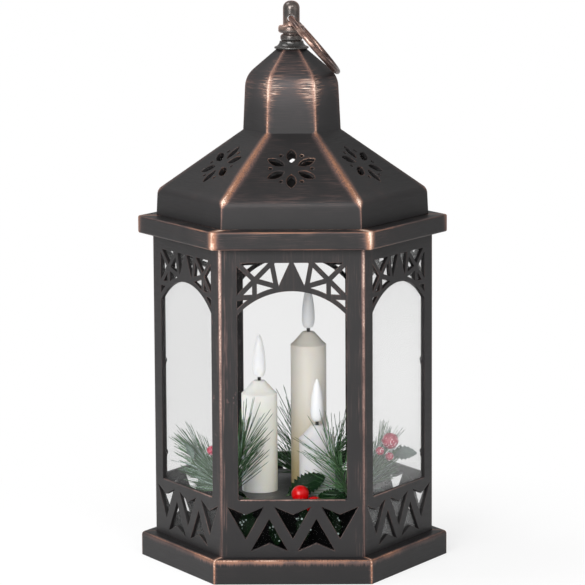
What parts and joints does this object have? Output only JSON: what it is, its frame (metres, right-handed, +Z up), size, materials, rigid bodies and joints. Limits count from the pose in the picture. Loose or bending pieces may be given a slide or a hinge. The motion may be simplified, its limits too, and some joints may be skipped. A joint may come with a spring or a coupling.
{
  "type": "LED candle lantern",
  "caption": "Six-sided table lantern with pierced roof, arched lattice windows, swinging hanging ring, and battery-lit candles set among pine and holly.",
  "frame": {"origin": "middle of the foot, on the plane that the plinth stands on", "axes": "+Z up through the finial; -Y out of the front window; corners of the six-sided body on +X and -X"},
  "size_m": [0.1652, 0.143, 0.3],
  "materials": {
    "bronze": "satin charcoal bronze with copper brushed on its edges",
    "clear_pane": "clear, slightly hazy",
    "ring_wire": "dark satin",
    "black_plastic": "fine matt moulding",
    "knob_plastic": "matt",
    "zinc": "bright zinc",
    "cell_wrap": "plain printed sleeve, no marks",
    "board": "green solder mask",
    "chip": "matt",
    "ivory_wax": "waxy ivory",
    "flame_lens": "frosted translucent white",
    "wick_black": "matt",
    "led_epoxy": "warm white lens",
    "lead_wire": "coloured sleeve",
    "pine": "soft needles with white flocking",
    "holly": "waxy leaf with a frosted edge",
    "berry_red": "glossy",
    "berry_glitter": "coarse glitter"
  },
  "bodies": {
    "lantern": {"base_plinth": "bronze", "bottom_cover": "black_plastic", "cover_screws": "zinc", "battery_tray": "black_plastic", "batteries": "cell_wrap", "contact_springs": "zinc", "contact_plates": "zinc", "circuit_board": "board", "board_parts": "chip", "switch_body": "zinc", "candle_platform": "black_plastic", "panel_front": "bronze", "panel_front_right": "bronze", "panel_back_right": "bronze", "panel_back": "bronze", "panel_back_left": "bronze", "panel_front_left": "bronze", "pane_front": "clear_pane", "pane_front_right": "clear_pane", "pane_back_right": "clear_pane", "pane_back": "clear_pane", "pane_back_left": "clear_pane", "pane_front_left": "clear_pane", "eave_collar": "bronze", "roof": "bronze", "finial_bell": "bronze", "finial_post": "bronze", "finial_nut": "zinc", "candle_tall": "ivory_wax", "candle_medium": "ivory_wax", "candle_short": "ivory_wax", "flame_tall": "flame_lens", "flame_medium": "flame_lens", "flame_short": "flame_lens", "wicks": "wick_black", "leds": "led_epoxy", "led_leads": "lead_wire", "pine_left": "pine", "pine_right": "pine", "pine_back": "pine", "holly_front": "holly", "holly_low": "holly", "holly_left": "holly", "holly_right": "holly", "berries_red": "berry_red", "berries_glitter": "berry_glitter"},
    "ring": {"ring_handle": "ring_wire"},
    "switch": {"switch_knob": "knob_plastic"},
    "door": {"battery_door": "black_plastic"}
  },
  "joints": [
    {"name": "ring_swing", "type": "hinge", "parent": "lantern", "child": "ring", "pos_m": [0, 0, 0.29045], "axis": [0, -1, 0], "range_deg": [0, 278]},
    {"name": "switch_slide", "type": "slide", "parent": "lantern", "child": "switch", "axis": [1, 0, 0], "range_m": [-0.003, 0.003]},
    {"name": "door_hinge", "type": "hinge", "parent": "lantern", "child": "door", "pos_m": [0, -0.0182, 0.0026], "axis": [-1, 0, 0], "range_deg": [0, 90]}
  ]
}
